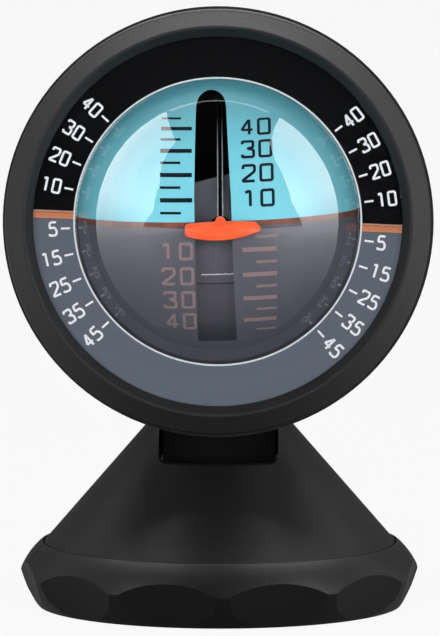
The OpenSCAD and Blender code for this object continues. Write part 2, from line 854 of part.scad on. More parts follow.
// Outline of the pointer: flat arc on top, deeper arc below, blunt left end, round nose on the
// right
module pointer_outline() {
    half = pointer_w / 2;
    sag = pointer_h / 2;
    corner = 0.7;
    nose_r = 0.55;
    nose_c = [half - nose_r, 0.3];
    nose_low = nose_c + nose_r * [cos(60), -sin(60)];
    keel = [corner - half, 0.45 - sag];
    keel_c = arc_centre(keel, nose_low, pointer_keel_r);
    from = keel - keel_c;
    to = nose_low - keel_c;
    top_c = [0, sag - pointer_top_r];
    polygon(concat(
        arc(keel_c, pointer_keel_r, atan2(from[1], from[0]), atan2(to[1], to[0]), 12),
        arc(nose_c, nose_r, -50, 50, 5),
        arc(top_c, pointer_top_r, 90 - asin((half - 0.9) / pointer_top_r),
            90 + asin((half - corner) / pointer_top_r), 8),
        arc([corner - half, sag - 0.25 - corner], corner, 100, 180, 4),
        arc([corner - half, 0.45 - sag + corner], corner, 180, 260, 4)
    ));
}

// The pointer, with a small boss over the end of the arm
module pointer() {
    color([1, 0.42, 0.25]) gimbal_frame()
        translate([pointer_x, pointer_back, -pointer_drop]) rotate([90, 0, 0])
        linear_extrude(height = pointer_t) {
            translate([pointer_shift, 0]) pointer_outline();
            translate([0, pointer_h / 2]) circle(r = pointer_boss_r);
        }
}

// Ball --------------------------------------------------------------------

// Cutter for the pointer arm's slot, straight back through the front of the ball: it narrows
// above its knee, up to a round end
module ball_slot() {
    round_r = ball_slot_top_w / 2;
    low_z = ball_r * sin(ball_slot_low);
    knee = [ball_slot_w / 2 - 0.15, ball_r / 4];
    top_z = ball_r * sin(ball_slot_high) - round_r;
    translate([ball_slot_x, 0, 0]) rotate([90, 0, 0]) linear_extrude(height = ball_r + 1) {
        polygon([
            [-ball_slot_w / 2, low_z], [ball_slot_w / 2, low_z], knee, [round_r, top_z],
            [-round_r, top_z], [-knee[0], knee[1]]
        ]);
        translate([0, top_z]) circle(r = round_r - slot_shoulder);
    }
}

module ball_skin() {
    difference() {
        sphere(r = ball_r, $fn = 180);
        sphere(r = ball_in_r, $fn = 180);
        ball_slot();
    }
}

module slab(z0, z1) {
    translate([-ball_r - 1, -ball_r - 1, z0]) cube([2 * ball_r + 2, 2 * ball_r + 2, z1 - z0]);
}

module sky_shell() {
    color([0.45, 0.8, 0.86]) ball_frame() intersection() {
        ball_skin();
        slab(horizon_top, ball_r + 1);
    }
}

module horizon_ring() {
    spigot_out = sqrt(pow(ball_in_r, 2) - pow(horizon_top + spigot_reach, 2)) - 3 * seat_gap;
    color([0.5, 0.24, 0.14]) ball_frame() difference() {
        union() {
            intersection() {
                ball_skin();
                slab(horizon_low, horizon_top);
            }
            translate([0, 0, horizon_low - spigot_reach])
                ring(spigot_out, spigot_out - spigot_wall, horizon_w + 2 * spigot_reach);
            translate([0, 0, horizon_low])
                ring(spigot_out + spigot_wall, spigot_out - spigot_wall, horizon_w);
        }
        ball_slot();
        rod_x(bush_collar_r + move_gap, -ball_in_r, ball_in_r);
    }
}

module ground_shell() {
    color([0.33, 0.33, 0.35]) ball_frame() difference() {
        union() {
            intersection() {
                ball_skin();
                slab(-ball_r - 1, horizon_low);
            }
            intersection() {
                for (side = [0, 1]) mirror([side, 0, 0])
                    rod_x(bush_collar_r, bush_x, ball_in_r + 0.5);
                slab(-bush_collar_r - 1, horizon_low - spigot_reach - seat_gap);
            }
        }
        rod_x(bush_r + thread_gap, -ball_r - 1, ball_r + 1);
    }
}

module pivot_bushes() {
    color("goldenrod") ball_frame() for (side = [0, 1]) mirror([side, 0, 0])
        difference() {
            union() {
                rod_x(bush_r, bush_x, ball_r + 0.1);
                rod_x(bush_collar_r, ball_r, ball_r + 0.5);
            }
            rod_x(axle_r + run_gap, bush_x - cut, ball_r + 1);
        }
}

// Piece of a thick sphere in the bottom of the ball
module ball_weight() {
    reach = ball_weight_r * 2;
    color("gray") ball_frame() intersection() {
        difference() {
            sphere(r = ball_weight_r, $fn = 180);
            sphere(r = ball_weight_r - ball_weight_t, $fn = 180);
        }
        mirror([0, 0, 1]) cylinder(r1 = 0, r2 = reach * tan(ball_weight_angle), h = reach);
    }
}

adhesive_pad();
base_plate();
skirt_front();
skirt_rear();
base_screws();
friction_washer();
turntable();
cone_shell();
cone_screws();
hinge_yoke();
yoke_screws();
hinge_pin();
pin_clips();
hinge_washers();
neck();
neck_screws();
rear_housing();
housing_screws();
bezel();
dial();
lens();
roll_shaft();
shaft_clip();
gimbal_yoke();
pitch_axle();
inner_carrier();
roll_weight();
pointer_arm();
pointer();
sky_shell();
horizon_ring();
ground_shell();
pivot_bushes();
ball_weight();
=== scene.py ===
"""Looks of a dashboard inclinometer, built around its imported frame.

Metres, +Z up, the dial faces -Y. Sizes written in millimetres are multiplied by MM.
"""

import json
import math

import bmesh
import bpy
from mathutils import Matrix, Vector

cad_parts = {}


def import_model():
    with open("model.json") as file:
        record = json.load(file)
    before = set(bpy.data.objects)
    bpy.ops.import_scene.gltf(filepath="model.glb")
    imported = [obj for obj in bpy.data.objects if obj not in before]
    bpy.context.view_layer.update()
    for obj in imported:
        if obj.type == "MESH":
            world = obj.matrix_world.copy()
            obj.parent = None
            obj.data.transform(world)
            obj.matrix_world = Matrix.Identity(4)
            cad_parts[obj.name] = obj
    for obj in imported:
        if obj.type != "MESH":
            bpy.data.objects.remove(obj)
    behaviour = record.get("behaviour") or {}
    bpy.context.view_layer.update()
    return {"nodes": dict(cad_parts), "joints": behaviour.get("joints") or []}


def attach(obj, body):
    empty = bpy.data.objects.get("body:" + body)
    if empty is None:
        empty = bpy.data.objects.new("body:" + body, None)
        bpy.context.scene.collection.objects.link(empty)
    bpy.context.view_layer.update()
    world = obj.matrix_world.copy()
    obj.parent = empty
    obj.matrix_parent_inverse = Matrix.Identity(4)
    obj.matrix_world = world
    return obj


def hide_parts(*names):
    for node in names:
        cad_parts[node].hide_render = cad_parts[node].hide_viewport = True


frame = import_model()

MM = 0.001
SEGMENTS = 256
SMOOTH_ANGLE = math.radians(28)
TINY = 1e-9

# Frames -----------------------------------------------------------------------------

joints = {j["name"]: j for j in frame["joints"]}


def axes(origin, x, y):
    """Matrix of a frame from its origin and its X and Y directions."""
    m = Matrix((x, y, x.cross(y))).transposed().to_4x4()
    m.translation = origin
    return m


BALL_DEPTH = 10.0 * MM
DIAL_TURN = math.radians(2.3)
roll_axis = Vector(joints["roll"]["axis"]).normalized()
pitch_axis = Vector(joints["pitch"]["axis"]).normalized()
ball_centre = Vector(joints["roll"]["pos_m"])
head_lean = math.atan2(-roll_axis.z, roll_axis.y)
HEAD = axes(ball_centre - roll_axis * BALL_DEPTH, Vector((1, 0, 0)), roll_axis)
GIMBAL = axes(ball_centre, pitch_axis, roll_axis)
BALL = GIMBAL @ Matrix.Rotation(head_lean, 4, "X")
DIAL = HEAD @ Matrix.Rotation(DIAL_TURN, 4, "Y")

# Meshes -----------------------------------------------------------------------------


def make_piece(name, verts, faces, matrix, material, body, smooth=SMOOTH_ANGLE):
    """A closed mesh from points in a frame of its own, which rides on a CAD body."""
    mesh = bpy.data.meshes.new(name)
    mesh.from_pydata([matrix @ Vector(v) for v in verts], [], faces)
    bm = bmesh.new()
    bm.from_mesh(mesh)
    bmesh.ops.recalc_face_normals(bm, faces=bm.faces)
    bm.to_mesh(mesh)
    bm.free()
    mesh.shade_smooth()
    mesh.set_sharp_from_angle(angle=smooth)
    mesh.materials.append(material)
    obj = bpy.data.objects.new(name, mesh)
    bpy.context.scene.collection.objects.link(obj)
    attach(obj, body)
    return obj


def lathe(profile, segments=SEGMENTS):
    """Points and faces of a closed outline of (radius, depth), turned about the Y axis."""
    verts, rings, faces = [], [], []
    turns = [2 * math.pi * i / segments for i in range(segments)]
    for radius, depth in profile:
        if radius < TINY:
            rings.append([len(verts)] * segments)
            verts.append((0.0, depth, 0.0))
        else:
            rings.append(list(range(len(verts), len(verts) + segments)))
            verts += [(radius * math.cos(t), depth, radius * math.sin(t)) for t in turns]
    for a, b in zip(rings, rings[1:] + rings[:1]):
        for i in range(segments):
            j = (i + 1) % segments
            face = list(dict.fromkeys((a[i], a[j], b[j], b[i])))
            if len(face) > 2:
                faces.append(face)
    return verts, faces


def arc(centre, radius, start, end, steps):
    """Points of an arc; angles in degrees from the first axis towards the second."""
    angles = [math.radians(start + (end - start) * i / steps) for i in range(steps + 1)]
    return [(centre[0] + radius * math.cos(a), centre[1] + radius * math.sin(a)) for a in angles]


def loft(loops, cap_start=True, cap_end=True):
    """Points and faces of a skin through closed loops of as many points each."""
    verts = [p for loop in loops for p in loop]
    count = len(loops[0])
    faces = []
    for k in range(len(loops) - 1):
        for i in range(count):
            j = (i + 1) % count
            faces.append((k * count + i, k * count + j, (k + 1) * count + j, (k + 1) * count + i))
    if cap_start:
        faces.append(tuple(range(count)))
    if cap_end:
        faces.append(tuple(range((len(loops) - 1) * count, len(loops) * count)))
    return verts, faces


# Printed strokes --------------------------------------------------------------------

GLYPHS = {
    "0": [(True, [(0, 0), (0, 1), (1, 1), (1, 0)])],
    "1": [(False, [(0.12, 0.9), (0.55, 1), (0.55, 0)])],
    "2": [(False, [(0, 0.78), (0, 1), (1, 1), (1, 0.6), (0, 0.08), (0, 0), (1, 0)])],
    "3": [
        (False, [(0, 0.83), (0, 1), (0.95, 1), (0.95, 0.6), (0.42, 0.53)]),
        (False, [(0.5, 0.53), (1, 0.44), (1, 0), (0, 0), (0, 0.17)]),
    ],
    "4": [
        (False, [(0.7, 0), (0.7, 1)]),
        (False, [(0.66, 0.98), (0.02, 0.3)]),
        (False, [(0, 0.3), (1.02, 0.3)]),
    ],
    "5": [(False, [(0.97, 1), (0.1, 1), (0.03, 0.54), (0.7, 0.62), (1, 0.4), (1, 0.14),
                   (0.8, 0), (0.05, 0), (0, 0.12)])],
}


LONGEST_CORNER = 0.49
MITRE_LIMIT = 0.5


def rounded(points, closed, radius, steps=4):
    """The same line with its corners rounded, each within its half of the two sides."""
    pts = [Vector(p) for p in points]
    out = []
    for i, p in enumerate(pts):
        if not closed and i in (0, len(pts) - 1):
            out.append(p)
            continue
        before, after = pts[i - 1], pts[(i + 1) % len(pts)]
        a, b = before - p, after - p
        reach = min(radius, a.length * LONGEST_CORNER, b.length * LONGEST_CORNER)
        start, end = p + a.normalized() * reach, p + b.normalized() * reach
        for k in range(steps + 1):
            t = k / steps
            out.append((1 - t) ** 2 * start + 2 * t * (1 - t) * p + t * t * end)
    return out


def divided(points, closed, longest):
    """The same line in steps no longer than longest."""
    out = []
    ends = points[1:] + points[:1] if closed else points[1:]
    for p, q in zip(points, ends):
        count = max(1, math.ceil((q - p).length / longest))
        out += [p + (q - p) * k / count for k in range(count)]
    return out if closed else out + [points[-1]]


class Print:
    """Strokes of ink as thin closed solids on a surface."""

    def __init__(self, surface):
        self.surface = surface  # (u, v, inner) -> point under the ink, or on it
        self.verts, self.faces = [], []

    def stroke(self, points, width, closed=False, corner=0.3 * MM, longest=0.5 * MM):
        """A line of ink of the given width, along points (u, v) on the surface."""
        bare = [Vector(p) for p in points]
        line = divided(rounded(bare, closed, corner) if corner else bare, closed, longest)
        count = len(line)
        base = len(self.verts)
        for i, p in enumerate(line):
            back = line[i - 1] if closed or i else p
            ahead = line[(i + 1) % count] if closed or i < count - 1 else p
            d_in = (p - back).normalized() if (p - back).length > TINY else None
            d_out = (ahead - p).normalized() if (ahead - p).length > TINY else None
            d_in, d_out = d_in or d_out, d_out or d_in
            side = Vector((-(d_in + d_out).y, (d_in + d_out).x)).normalized()
            reach = width / 2 / max(MITRE_LIMIT, side.dot(Vector((-d_in.y, d_in.x))))
            left, right = p + side * reach, p - side * reach
            for q, inner in ((left, False), (right, False), (right, True), (left, True)):
                self.verts.append(self.surface(q.x, q.y, inner))
        for i in range(count if closed else count - 1):
            a, b = base + 4 * i, base + 4 * ((i + 1) % count)
            self.faces += [(a + k, a + (k + 1) % 4, b + (k + 1) % 4, b + k) for k in range(4)]
        if not closed:
            self.faces += [tuple(base + k for k in range(4)),
                           tuple(base + 4 * (count - 1) + k for k in range(4))]

    def digit(self, char, centre, right, up, width, height, thick):
        """One digit: width and height are those of its strokes' middle lines."""
        for closed, points in GLYPHS[char]:
            placed = [centre + right * ((x - 0.5) * width) + up * ((y - 0.5) * height)
                      for x, y in points]
            self.stroke(placed, thick, closed)

    def piece(self, name, matrix, material, body, slot):
        return make_piece(name, self.verts, self.faces, matrix, material, body)


# Materials --------------------------------------------------------------------------


def rgb(r, g, b):
    """Linear colour of an 8-bit display colour."""
    def linear(v):
        v /= 255
        return v / 12.92 if v <= 0.04045 else ((v + 0.055) / 1.055) ** 2.4
    return (linear(r), linear(g), linear(b), 1.0)


# Sockets of the Mix node, which has a set of them for numbers and another for colours.
MIX_FACTOR, NUMBER_A, NUMBER_B, NUMBER_OUT, COLOUR_A, COLOUR_B, COLOUR_OUT = 0, 2, 3, 0, 6, 7, 2


class Shader:
    """A material under construction, with short calls for its nodes."""

    def __init__(self, name, matrix=None):
        self.material = bpy.data.materials.new(name)
        self.material.use_nodes = True
        self.tree = self.material.node_tree
        self.principled = self.tree.nodes["Principled BSDF"]
        self.coords = self.add("ShaderNodeTexCoord").outputs["Object"]
        if matrix:
            self.coords = self.mapped(matrix.inverted())

    def mapped(self, matrix):
        """The coordinates after a rigid move."""
        node = self.add("ShaderNodeMapping", Vector=self.coords)
        node.inputs["Location"].default_value = matrix.to_translation()
        node.inputs["Rotation"].default_value = matrix.to_euler("XYZ")
        return node.outputs["Vector"]

    def stretched(self, scale):
        """The coordinates stretched along the axes."""
        node = self.add("ShaderNodeMapping", Vector=self.coords)
        node.inputs["Scale"].default_value = scale
        return node.outputs["Vector"]

    def add(self, kind, settings=None, **inputs):
        node = self.tree.nodes.new(kind)
        for key, value in (settings or {}).items():
            setattr(node, key, value)
        for key, value in inputs.items():
            self.put(node.inputs[key.replace("_", " ")], value)
        return node

    def put(self, socket, value):
        if isinstance(value, bpy.types.NodeSocket):
            self.tree.links.new(value, socket)
        else:
            socket.default_value = value

    def set(self, **inputs):
        for key, value in inputs.items():
            self.put(self.principled.inputs[key.replace("_", " ")], value)

    def noise(self, scale, detail=3.0, roughness=0.5):
        """Noise with grains of about 1 / scale metres."""
        node = self.add("ShaderNodeTexNoise", Vector=self.coords, Scale=scale, Detail=detail,
                        Roughness=roughness)
        return node.outputs["Fac"]

    def spread(self, value, low, high, start=0.3, end=0.7):
        """Maps a noise value to the range low to high."""
        node = self.add("ShaderNodeMapRange", Value=value)
        for key, v in (("From Min", start), ("From Max", end), ("To Min", low), ("To Max", high)):
            node.inputs[key].default_value = v
        return node.outputs["Result"]

    def blend(self, factor, a, b):
        node = self.add("ShaderNodeMix", {"data_type": "RGBA"})
        self.put(node.inputs[MIX_FACTOR], factor)
        self.put(node.inputs[COLOUR_A], a)
        self.put(node.inputs[COLOUR_B], b)
        return node.outputs[COLOUR_OUT]

    def maths(self, operation, *values):
        node = self.add("ShaderNodeMath", {"operation": operation})
        for socket, value in zip(node.inputs, values):
            self.put(socket, value)
        return node.outputs[0]

    def mixed(self, factor, first, second):
        """One shader, and the other where the factor is 1."""
        node = self.add("ShaderNodeMixShader")
        for socket, value in zip(node.inputs, (factor, first, second)):
            self.put(socket, value)
        return node.outputs[0]

    def surface(self, shader):
        """Makes a shader the material's surface."""
        self.put(self.tree.nodes["Material Output"].inputs["Surface"], shader)

    def streaks(self, stretch, scale, detail):
        """Noise drawn out along the axes with a small stretch."""
        node = self.add("ShaderNodeTexNoise", Vector=self.stretched(stretch), Scale=scale,
                        Detail=detail)
        return node.outputs["Fac"]

    def along(self, axis):
        """The coordinate along one axis."""
        return self.add("ShaderNodeSeparateXYZ", Vector=self.coords).outputs[axis]

    def bump(self, height, depth, strength=1.0, normal=None):
        """Relief of the given depth in metres."""
        node = self.add("ShaderNodeBump", Height=height, Distance=depth, Strength=strength)
        if normal is not None:
            self.put(node.inputs["Normal"], normal)
        return node.outputs["Normal"]

    def ramp(self, value, stops, interpolation="LINEAR"):
        node = self.add("ShaderNodeValToRGB", Fac=value)
        node.color_ramp.interpolation = interpolation
        elements = node.color_ramp.elements
        while len(elements) < len(stops):
            elements.new(0.5)
        for element, (position, colour) in zip(elements, stops):
            element.position = position
            element.color = colour
        return node.outputs["Color"]


def plastic(name, dark, light, rough, grain, depth, specular=0.5):
    """Moulded plastic: a fine eroded grain, soft blotches and uneven gloss."""
    s = Shader(name)
    fine = s.noise(grain, 4.0, 0.6)
    blotch = s.noise(grain / 60, 2.0)
    s.set(Base_Color=s.blend(s.spread(blotch, 0.0, 1.0), dark, light),
          Roughness=s.spread(fine, rough - 0.06, rough + 0.06),
          Normal=s.bump(fine, depth), Specular_IOR_Level=specular)
    return s.material


def steel(name, colour, rough):
    """Turned or stamped steel with fine drawn lines along Z and small stains."""
    s = Shader(name)
    lines = s.streaks((1.0, 1.0, 0.08), 9000.0, 3.0)
    stain = s.noise(400.0)
    darker = tuple(c * 0.75 for c in colour[:3]) + (1.0,)
    s.set(Base_Color=s.blend(s.spread(stain, 0.0, 1.0), colour, darker), Metallic=1.0,
          Roughness=s.spread(lines, rough - 0.08, rough + 0.1),
          Normal=s.bump(lines, 0.000006))
    return s.material


def ink(name, colour, worn):
    """Printed ink with slight thin spots."""
    s = Shader(name)
    spots = s.noise(2500.0, 3.0)
    s.set(Base_Color=s.blend(s.spread(spots, 0.0, 1.0, 0.45, 0.8), colour, worn),
          Roughness=s.spread(spots, 0.35, 0.5), Normal=s.bump(spots, 0.000004),
          Specular_IOR_Level=0.15)
    return s.material


def dial_material():
    """Dial face: black above, blue-grey below, an orange-brown stripe of bands between."""
    s = Shader("dial_face", DIAL)
    half, fray = 0.75 * MM, 0.03 * MM
    height = s.along("Z")
    grain = s.noise(1800.0, 3.0)
    fibres = s.streaks((0.12, 1.0, 1.0), 5200.0, 2.0)
    shifted = s.maths("MULTIPLY_ADD", s.spread(fibres, -1.0, 1.0), fray, height)
    across = s.spread(shifted, 0.0, 1.0, -half, half)
    black, grey, scuffed, scuffs = rgb(2, 2, 3), rgb(88, 94, 105), rgb(120, 124, 132), 0.006
    bands = [
        (0.0, rgb(74, 62, 60)), (0.06, rgb(98, 70, 62)), (0.14, rgb(170, 138, 120)),
        (0.2, rgb(190, 122, 88)), (0.4, rgb(186, 112, 76)), (0.55, rgb(192, 118, 86)),
        (0.68, rgb(182, 108, 74)), (0.76, rgb(142, 84, 62)), (0.84, rgb(168, 124, 106)),
        (0.95, rgb(176, 146, 132)), (0.985, rgb(60, 34, 28)), (1.0, rgb(18, 8, 8)),
    ]
    stripe = s.ramp(across, bands)
    fields = s.blend(s.spread(height, 0.0, 1.0, -half, -half * 0.96), grey, stripe)
    upper = s.blend(s.spread(height, 0.0, 1.0, half, half * 1.04), fields, black)
    worn = s.blend(s.spread(grain, 0.0, scuffs), upper, scuffed)
    s.set(Base_Color=worn, Roughness=s.spread(grain, 0.42, 0.58), Specular_IOR_Level=0.15,
          Normal=s.bump(grain, 0.000006))
    return s.material


def ball_material(name, colour, deep, rough=0.38):
    """Painted ball shell: satin paint with faint mottling and orange peel."""
    s = Shader(name)
    mottle = s.noise(120.0, 3.0)
    peel = s.noise(900.0, 2.0)
    s.set(Base_Color=s.blend(s.spread(mottle, 0.0, 1.0), colour, deep),
          Roughness=s.spread(peel, rough - 0.05, rough + 0.07), Normal=s.bump(peel, 0.00001),
          Specular_IOR_Level=0.4)
    return s.material


def horizon_material():
    """Rust-brown band with darker worn stretches."""
    s = Shader("horizon_paint")
    wear = s.noise(260.0, 4.0, 0.65)
    s.set(Base_Color=s.blend(s.spread(wear, 0.0, 1.0, 0.4, 0.62), rgb(132, 72, 54),
                             rgb(92, 50, 40)),
          Roughness=s.spread(wear, 0.35, 0.5), Normal=s.bump(wear, 0.00001))
    return s.material


def pointer_material():
    """Bright orange plastic, deeper where it is thick."""
    s = Shader("pointer_plastic")
    cloud = s.noise(420.0, 2.0)
    s.set(Base_Color=s.blend(s.spread(cloud, 0.0, 1.0), rgb(255, 106, 62), rgb(250, 92, 44)),
          Roughness=s.spread(cloud, 0.3, 0.42), Normal=s.bump(cloud, 0.00001),
          Subsurface_Weight=0.15, Subsurface_Scale=0.001)
    return s.material


def arm_edge_material():
    """Painted glint on the arm's edges: grey near the pointer, fading to black towards the post.
    """
    s = Shader("arm_painted_glint", GIMBAL)
    glint_full_below, glint_gone_above = 9.5 * MM, 14.0 * MM
    glint_mottle = s.noise(1400.0, 2.0)
    # Painted highlight: the grey is the edges' glint, and it fades to black towards the post
    # where the glint dies away.
    bare = s.blend(s.spread(glint_mottle, 0.0, 1.0), rgb(142, 142, 147), rgb(122, 122, 127))
    glint_fade = s.spread(s.along("Z"), 0.0, 1.0, glint_full_below, glint_gone_above)
    s.set(Base_Color=s.blend(glint_fade, bare, rgb(8, 8, 9)),
          Roughness=s.spread(glint_mottle, 0.35, 0.5))
    return s.material


def glass_material():
    """Clear plastic with painted shade where it slants, that lets lamps and reflections through.
    """
    s = Shader("clear_plastic")
    haze = s.noise(700.0, 2.0)
    slant = s.add("ShaderNodeLayerWeight", Blend=0.5).outputs["Facing"]
    # Painted shade: the colour darkens where the dome slants from the view, standing in for shade
    # on the ball behind it.
    painted_slant_shade = s.ramp(slant, [(0.0, (1, 1, 1, 1)), (0.14, (0.99, 0.99, 0.99, 1)),
                           (0.26, (0.84, 0.86, 0.87, 1)), (0.4, (0.6, 0.65, 0.67, 1)),
                           (1.0, (0.55, 0.6, 0.62, 1))])
    s.set(Base_Color=painted_slant_shade, Roughness=s.spread(haze, 0.0, 0.02),
          Transmission_Weight=1.0, IOR=1.49, Normal=s.bump(haze, 0.0000006))
    rays = s.add("ShaderNodeLightPath")
    lamps = s.maths("MAXIMUM", rays.outputs["Is Shadow Ray"], rays.outputs["Is Diffuse Ray"])
    passing = s.maths("MAXIMUM", lamps, rays.outputs["Is Glossy Ray"])
    clear = s.add("ShaderNodeBsdfTransparent", Color=(0.97, 0.98, 0.98, 1.0))
    s.surface(s.mixed(passing, s.principled.outputs[0], clear.outputs[0]))
    return s.material


def dress(material, *names):
    """Gives CAD nodes a material."""
    for name in names:
        node = frame["nodes"][name]
        if not node.material_slots:
            node.data.materials.append(material)
        for slot in node.material_slots:
            slot.material = material


# Dome, dial and their printing ------------------------------------------------------

FLANGE_R, LENS_T, DOME_R, DOME_DEPTH, FILLET = (v * MM for v in (30.0, 1.2, 22.4, 5.0, 1.2))
SEAT_GAP, DIAL_T, DIAL_HOLE_R = 0.1 * MM, 0.8 * MM, 23.0 * MM
INK_T = 0.03 * MM


def lens_profile():
    """Outline of the dome and its flange, with a fillet between and softened outer edges."""
    outer = DOME_R + LENS_T
    fillet_y = -LENS_T - FILLET
    fillet_x = math.sqrt((outer + FILLET) ** 2 - (DOME_DEPTH - fillet_y) ** 2)
    tangent = math.degrees(math.atan2(fillet_y - DOME_DEPTH, fillet_x))
    rim = math.degrees(math.atan2(-DOME_DEPTH, math.sqrt(DOME_R ** 2 - DOME_DEPTH ** 2)))
    edge = 0.12 * MM
    dome = arc((0, DOME_DEPTH), outer, -90, tangent, 64)
    fillet = arc((fillet_x, fillet_y), FILLET, tangent + 180, 90, 10)
    front = arc((FLANGE_R - edge, edge - LENS_T), edge, -90, 0, 4)
    back = arc((FLANGE_R - edge, -edge), edge, 0, 90, 4)
    bore = arc((0, DOME_DEPTH), DOME_R, rim, -90, 64)
    dome[0], bore[-1] = (0.0, dome[0][1]), (0.0, bore[-1][1])
    return dome + fillet[1:] + front + back + bore


def make_lens(material):
    verts, faces = lathe(lens_profile())
    piece = make_piece("lens_dome", verts, faces, HEAD, material, "head")
    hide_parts("lens")
    return piece


def make_dial(material):
    outer = FLANGE_R - 0.05 * MM
    back = SEAT_GAP + DIAL_T
    profile = [(DIAL_HOLE_R, SEAT_GAP), (outer, SEAT_GAP), (outer, back), (DIAL_HOLE_R, back)]
    verts, faces = lathe(profile)
    piece = make_piece("dial_ring", verts, faces, DIAL, material, "head")
    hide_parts("dial")


def make_dial_margin(material):
    """Painted highlight: a pale ring round the dial's hole, just inside the dome's foot, standing
    in for the bright reflection there.
    """
    inner, outer, back, front = 23.02 * MM, 23.42 * MM, 0.1 * MM, 0.07 * MM
    verts, faces = lathe([(inner, back), (outer, back), (outer, front), (inner, front)])
    make_piece("fillet_highlight_ring", verts, faces, HEAD, material, "head")


def print_dial(material):
    """Tens above the stripe and fives below it on both sides, written along the radii."""
    near, far = 26.8 * MM, 28.55 * MM
    tick_start, tick_end, tick_thick = 24.05 * MM, 25.5 * MM, 0.32 * MM
    width, height, thick = 1.15 * MM, 2.15 * MM, 0.36 * MM
    ink_on_dial = Print(lambda u, v, inner: (u, SEAT_GAP if inner else SEAT_GAP - INK_T, v))
    for side in (-1, 1):
        for mark in (10, 20, 30, 40, -5, -15, -25, -35, -45):
            angle = math.radians(mark)
            out = Vector((side * math.cos(angle), math.sin(angle)))
            right = out * side
            up = Vector((-right.y, right.x))
            ink_on_dial.stroke([out * tick_start, out * tick_end], tick_thick, corner=0)
            text = str(abs(mark))
            radii = (near, far) if side > 0 else (far, near)
            for char, radius in zip(text, radii if len(text) > 1 else (near,)):
                ink_on_dial.digit(char, out * radius, right, up, width, height, thick)
    ink_on_dial.piece("dial_figures", DIAL, material, "head", "dial_print")


# Ball -------------------------------------------------------------------------------

BALL_R = 23.4 * MM
# Degrees of latitude at a mark m of the scale: ZERO_LATITUDE + MARK_STEP * m + OPENING * m * |m|
ZERO_LATITUDE, MARK_STEP, OPENING = 4.35, 0.935, 0.0004
DRAWN_IN, DRAWN_AT = 0.045, 40
# In millimetres: the ink's depth under the ball's skin and its height above it, how thick the
# ticks and the figures' lines are, and the figures' width and height with its growth per mark.
INK_SUNK, INK_PROUD = 0.01, 0.02
LONG_TICK, SHORT_TICK, FIGURE_LINE = 0.66, 0.4, 0.44
FIGURE_W, FIGURE_H, FIGURE_GROWTH = 1.72, 2.15, 0.015


class BallPrint(Print):
    """Ink on the ball: u runs across it, and v up from a mark of its scale."""

    def __init__(self):
        super().__init__(self.on_ball)
        self.mark = 0

    def on_ball(self, u, v, inner):
        """The scale opens out towards its ends, and its figures draw in a little."""
        mark = self.mark
        degrees = ZERO_LATITUDE + MARK_STEP * mark + OPENING * mark * abs(mark)
        x = u * (1 - DRAWN_IN * (mark / DRAWN_AT) ** 2)
        z = BALL_R * math.sin(math.radians(degrees) + v / BALL_R)
        y = -math.sqrt(BALL_R ** 2 - x ** 2 - z ** 2)
        factor = 1 + (-INK_SUNK if inner else INK_PROUD) * MM / BALL_R
        return (x * factor, y * factor, z * factor)


def print_half(sign, name, material, slot, ends, columns):
    """Ticks every 5 degrees on one side of the slot and figures on the other."""
    long_end, short_end, outer_end = (end * MM for end in ends)
    half = BallPrint()
    for mark in range(5, 50, 5):
        half.mark = sign * mark
        tens = mark % 10 == 0
        half.stroke([(long_end if tens else short_end, 0), (outer_end, 0)],
                    (LONG_TICK if tens else SHORT_TICK) * MM, corner=0)
        if tens:
            height = (FIGURE_H + FIGURE_GROWTH * mark) * MM
            for char, x in zip(str(mark), columns):
                half.digit(char, Vector((x * MM, 0)), Vector((1, 0)), Vector((0, 1)),
                           FIGURE_W * MM, height, FIGURE_LINE * MM)
    half.piece(name, BALL, material, "ball", slot)


def print_ball(sky_ink, ground_ink):
    """Each half's tick ends (long, short and outer) and figure columns, in millimetres."""
    print_half(1, "sky_figures", sky_ink, "sky", (-3.45, -5.2, -8.3), (5.15, 7.8))
    print_half(-1, "ground_figures", ground_ink, "ground", (3.84, 5.86, 8.95), (-7.4, -4.62))


# Pointer and its arm ----------------------------------------------------------------

POINTER_W, POINTER_H, POINTER_T = 12.4 * MM, 3.0 * MM, 1.4 * MM
POINTER_AT = Vector((0.7 * MM, -(BALL_R + 0.9 * MM), -1.5 * MM))
POINTER_SHIFT = 0.4 * MM
ARM_TOP = Vector((0.7 * MM, -10.0 * MM, 16.0 * MM))
ARM_END = Vector((0.7 * MM, POINTER_AT.y - POINTER_T / 2, POINTER_AT.z))


def arc_centre(p, q, radius):
    """Centre of the circle through p and q, on the left of the way from p to q."""
    d = Vector(q) - Vector(p)
    side = Vector((-d.y, d.x)).normalized()
    return (Vector(p) + Vector(q)) / 2 + side * math.sqrt(radius ** 2 - (d.length / 2) ** 2)


def pointer_outline():
    """Flat arc on top, deeper arc below, rounded left end, blunt nose on the right."""
    half, sag = POINTER_W / 2, POINTER_H / 2
    keel_r, top_r, nose_r, corner = 18 * MM, 70 * MM, 0.55 * MM, 0.7 * MM
    nose_lift, keel_lift, top_drop, top_end = 0.12 * MM, 0.45 * MM, 0.25 * MM, 0.9 * MM
    keel_meets_nose = math.radians(60)
    nose = Vector((half - nose_r, nose_lift))
    nose_low = nose + nose_r * Vector((math.cos(keel_meets_nose), -math.sin(keel_meets_nose)))
    keel = Vector((corner - half, keel_lift - sag))
    centre = arc_centre(keel, nose_low, keel_r)
    angles = [math.degrees(math.atan2(*(p - centre).yx)) for p in (keel, nose_low)]
    reach = [math.degrees(math.asin((half - c) / top_r)) for c in (top_end, corner)]
    return (arc(centre, keel_r, angles[0], angles[1], 24)
            + arc(nose, nose_r, -50, 50, 8)
            + arc((0, sag - top_r), top_r, 90 - reach[0], 90 + reach[1], 16)
            + arc((corner - half, sag - top_drop - corner), corner, 100, 180, 6)
            + arc((corner - half, keel_lift - sag + corner), corner, 180, 260, 6))


